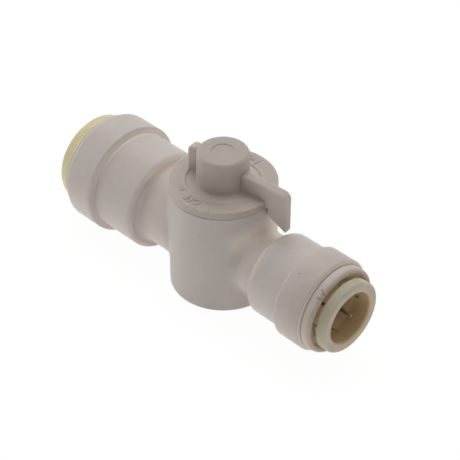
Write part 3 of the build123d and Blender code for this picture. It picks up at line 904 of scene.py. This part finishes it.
@dataclass
class Valve:
    """The whole valve: reads its places from the frame and builds its sub-assemblies in order."""

    warm_white: Colour = (0.806, 0.770, 0.746)
    warm_white_cloud: Colour = (0.785, 0.745, 0.718)
    cap_white: Colour = (0.80, 0.764, 0.735)
    handle_grey: Colour = (0.732, 0.690, 0.654)
    # Clouding of the handle's plastic, also laid on the knob's top as painted shade.
    handle_cloud_and_top_shade: Colour = (0.712, 0.669, 0.632)
    # Painted light: a paler grey on the lever's and fin's sides.
    lever_side_painted_light: Colour = (0.77, 0.727, 0.69)
    # Painted light round the knob's foot and on the dish floor.
    knob_foot_painted_light: Colour = (0.86, 0.82, 0.785)
    inlet_yellow: Colour = (0.905, 0.862, 0.665)
    outlet_tan: Colour = (0.75, 0.716, 0.635)
    # Painted light: warm cream for light bouncing into the neck creases.
    crevice_painted_light: Colour = (0.90, 0.85, 0.80)
    # Painted light: brightened colour in creases that lie in shade.
    crease_painted_light: Colour = (0.93, 0.885, 0.845)
    # Painted light: warm patch where the inlet neck meets its housing.
    neck_painted_light: Colour = (0.94, 0.875, 0.815)
    # Painted light in the groove between the outlet socket and its cap.
    groove_painted_light: Colour = (0.87, 0.82, 0.765)
    # Painted shade: darker brown on the outlet cap's front and inner slope.
    cap_slope_painted_shade: Colour = (0.70, 0.635, 0.555)
    # Painted light: warm amber in the cap's recess and behind the collet's flange.
    recess_painted_light: Colour = (0.95, 0.87, 0.73)
    # Painted light: olive colour of light that reaches into the bore.
    bore_painted_light: Colour = (0.79, 0.69, 0.52)
    # Painted light: paler brown deep in the bore.
    bore_deep_painted_light: Colour = (0.93, 0.84, 0.70)
    # Painted shade: darker, browner colour on the outlet socket.
    socket_painted_shade: Colour = (0.70, 0.64, 0.575)
    # Painted shade: greyer colour on the barrel under the handle.
    barrel_painted_shade: Colour = (0.735, 0.705, 0.68)
    scuff_brown: Colour = (0.55, 0.49, 0.43)
    inner_grey: Colour = (0.66, 0.63, 0.59)
    seat_white: Colour = (0.90, 0.90, 0.885)
    collet_rim: float = 2.5
    inlet_socket: float = 9.0
    inlet_housing: float = 12.8
    outlet_neck: float = 8.0
    knob_radius: float = 6.25

    def __post_init__(self) -> None:
        """Reads the pipe axis, the ends of the arms and the radii from the frame, in millimetres."""
        low, high = (np.asarray(corner, dtype=float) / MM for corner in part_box("outlet_collet"))
        self.axis_height = float(low[2] + high[2]) / 2.0
        self.collet_front = float(high[0])
        self.flange_radius = float(high[2] - low[2]) / 2.0
        self.lowest = float(cad_bounds[0][2]) / MM
        self.inlet_end, self.outlet_end = (float(corner[0]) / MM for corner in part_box("body"))
        self.socket_radius = float(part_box("body")[1][1]) / MM
        self.barrel_radius, self.knob_top = (float(size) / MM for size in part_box("handle")[1][1:3])

    def plastic(self, name: str, colour: Colour, cloud: Colour, **more: Any) -> MouldedPlastic:
        """A plastic finish whose tints are measured from the pipe axis.

        Args:
            name: the material's name.
            colour: its display colour.
            cloud: display colour of its clouding.
            more: other fields of the finish.

        Returns:
            The finish.
        """
        return MouldedPlastic(name, colour, cloud, self.axis_height, **more)

    def shell(self) -> Shell:
        """The body and the caps, with painted light and shade in their creases, grooves and on their sides,
        and their scuffs.

        Returns:
            The sub-assembly, not built yet.
        """
        axis, end, barrel, rim = self.axis_height, self.outlet_end, self.barrel_radius, self.socket_radius
        step = self.inlet_end + self.inlet_socket
        neck = step + self.inlet_housing
        small = self.outlet_neck
        body = self.plastic(
            "warm_white_plastic", self.warm_white, self.warm_white_cloud, grain=Grain.UP_STEM,
            shades=(
                # Painted shade: greyer barrel under the handle.
                PaintedLight(self.barrel_painted_shade, 0.6, (-barrel, -barrel + 6.0), (barrel + 1.0, barrel - 1.0)),
                # Painted shade: darker, browner outlet socket.
                PaintedLight(self.socket_painted_shade, 0.35, (end - 9.0, end - 1.0)),
                # Painted light on the socket's side of the groove at the outlet cap.
                PaintedLight(self.groove_painted_light, 0.8, (end - 0.35, end - 0.1)),
                # Painted light in the crease at the inlet socket's step, strongest on top.
                PaintedLight(self.crease_painted_light, 0.7, (step - 1.2, step - 0.6), (step + 1.1, step + 0.3),
                      radius=(rim - 0.12, rim - 0.82), height=(axis + 1.8, axis + 12.8)),
                # Painted light: warm patch on top where the inlet neck meets its housing.
                PaintedLight(self.neck_painted_light, 0.7, (neck - 0.6, neck + 0.1), (neck + 2.0, neck + 0.6),
                      height=(axis + 8.6, axis + 11.4)),
                # Painted light: warm cream in the inlet neck's crease.
                PaintedLight(self.crevice_painted_light, 0.2, (neck - 0.3, neck + 3.7), (neck + 10.7, neck + 7.7)),
                # Painted light: warm cream on the outlet neck next to the barrel.
                PaintedLight(self.crevice_painted_light, 0.15, (barrel - 1.5, barrel + 0.5), (barrel + 7.0, barrel + 5.0),
                      radius=(small + 2.2, small + 1.0)),
                # Painted light in the outlet neck's crease under the lever.
                PaintedLight(self.crease_painted_light, 0.9, (barrel - 4.5, barrel - 0.5), (barrel + 7.5, barrel + 3.5),
                      radius=(small + 6.5, small + 2.0), height=(axis + 2.8, axis + 9.3)),
            ),
            scuffs=(
                Scuff(self.scuff_brown, 0.5, (29.6, -5.75, 22.25), (29.85, -5.6, 22.4), 0.45),
                Scuff(self.scuff_brown, 0.45, (4.2, -12.3, 21.75), (4.5, -12.2, 21.8), 0.4),
                Scuff(self.scuff_brown, 0.4, (1.5, -12.9, 18.7), (1.8, -12.9, 18.75), 0.4),
            ))
        cap = self.plastic(
            "cap_plastic", self.cap_white, self.warm_white,
            shades=(
                # Painted light on the cap's side of the groove at the outlet socket.
                PaintedLight(self.groove_painted_light, 0.8, (end - 0.1, end), (end + 0.6, end + 0.2)),
                # Painted shade: darker brown over the front of the outlet cap.
                PaintedLight(self.cap_slope_painted_shade, 0.75, (end + 0.8, end + 2.4)),
                # Painted shade on the cap's inner slope next to the flange.
                PaintedLight(self.cap_slope_painted_shade, 0.85, (end, end + 0.1),
                      radius=(self.flange_radius + 1.65, self.flange_radius + 0.9)),
                # Painted light: warm amber in the cap's recess.
                PaintedLight(self.recess_painted_light, 0.9, (end, end + 0.1),
                      radius=(self.flange_radius + 0.7, self.flange_radius + 0.4)),
            ),
            scuffs=(
                Scuff(self.scuff_brown, 0.7, (36.35, -5.45, 21.4), (37.35, -5.85, 20.75), 0.75),
                Scuff(self.scuff_brown, 0.6, (36.4, -7.1, 20.2), (37.35, -6.7, 20.1), 0.75),
                Scuff(self.scuff_brown, 0.35, (36.6, -6.9, 20.4), (37.0, -6.0, 21.0), 0.5),
            ))
        return Shell(body, cap)

    def handle(self) -> Handle:
        """The handle, with painted light on the sides of its lever and fin and round the knob's foot, and
        painted shade on the knob's top.

        Returns:
            The sub-assembly, not built yet.
        """
        top, knob, edge = self.knob_top, self.knob_radius, self.barrel_radius
        disc = top - Handle.knob_rise
        past_knob = (knob + 0.65, knob + 1.35)
        return Handle(self.plastic(
            "grey_handle_plastic", self.handle_grey, self.handle_cloud_and_top_shade, roughness=0.5, subsurface=0.7,
            shades=(
                # Painted light in the corner round the knob's foot.
                PaintedLight(self.knob_foot_painted_light, 0.35, height=(disc + 3.35, disc - 0.05),
                      stem=(knob + 4.25, knob + 1.25)),
                # Painted shade: the knob's top made darker.
                PaintedLight(self.handle_cloud_and_top_shade, 0.9, height=(top - 0.95, top - 0.25),
                      stem=(knob + 0.05, knob - 0.65)),
                # Painted light on the sides of the lever and the fin.
                PaintedLight(self.lever_side_painted_light, 1.0, height=(disc + 0.25, disc + 0.75), stem=past_knob),
                # Takes the painted light off the lever's top again.
                PaintedLight(self.handle_grey, 1.0, (4.0, 5.0), height=(disc + 3.35, disc + 3.95), stem=past_knob),
                # Painted light on the lever's skirt past the disc's edge.
                PaintedLight(self.lever_side_painted_light, 1.0, height=(disc + 3.65, disc + 2.65),
                      stem=(edge + 0.12, edge + 0.72)),
            )))

    def collets(self) -> ReleaseCollets:
        """The collets, the outlet's one with painted light in its bore and behind its flange.

        Returns:
            The sub-assembly, not built yet.
        """
        front = self.collet_front
        bore = self.flange_radius - self.collet_rim
        outlet = self.plastic(
            "tan_collet_plastic", self.outlet_tan, scaled(self.outlet_tan, 0.93),
            shades=(
                # Painted light: olive colour inside the bore past its mouth.
                PaintedLight(self.bore_painted_light, 0.9, (front + 0.05, front - 0.2), radius=(bore + 1.0, bore + 0.6)),
                # Painted light: paler brown deep in the bore.
                PaintedLight(self.bore_deep_painted_light, 0.9, (front - 4.2, front - 5.2), radius=(bore + 0.7, bore + 0.2)),
                # Painted light: warm amber on the collet behind its flange.
                PaintedLight(self.recess_painted_light, 0.9, (front - 2.6, front - 2.9), radius=(bore + 0.5, bore + 0.7)),
            ))
        inlet = self.plastic("yellow_collet_plastic", self.inlet_yellow, scaled(self.inlet_yellow, 0.95))
        return ReleaseCollets(inlet, outlet, SpringSteel("grab_ring_steel"))

    def works(self) -> Works:
        """The pieces inside the shell.

        Returns:
            The sub-assembly, not built yet.
        """
        inner = self.plastic("inner_plastic", self.inner_grey, scaled(self.inner_grey, 0.97))
        seat = self.plastic("seat_plastic", self.seat_white, scaled(self.seat_white, 0.98), roughness=0.35)
        return Works(inner, seat, MouldedRubber("seal_rubber"))

    def build(self) -> None:
        """Builds each sub-assembly, then the studio around it."""
        for assembly in (self.shell(), self.handle(), self.collets(), self.works()):
            assembly.build()
        Studio(self.axis_height, self.lowest).build()


def main() -> None:
    """Builds the valve and its studio."""
    logging.basicConfig(level=logging.INFO, format="%(name)s: %(message)s")
    Valve().build()


if __name__ == "__main__":
    main()
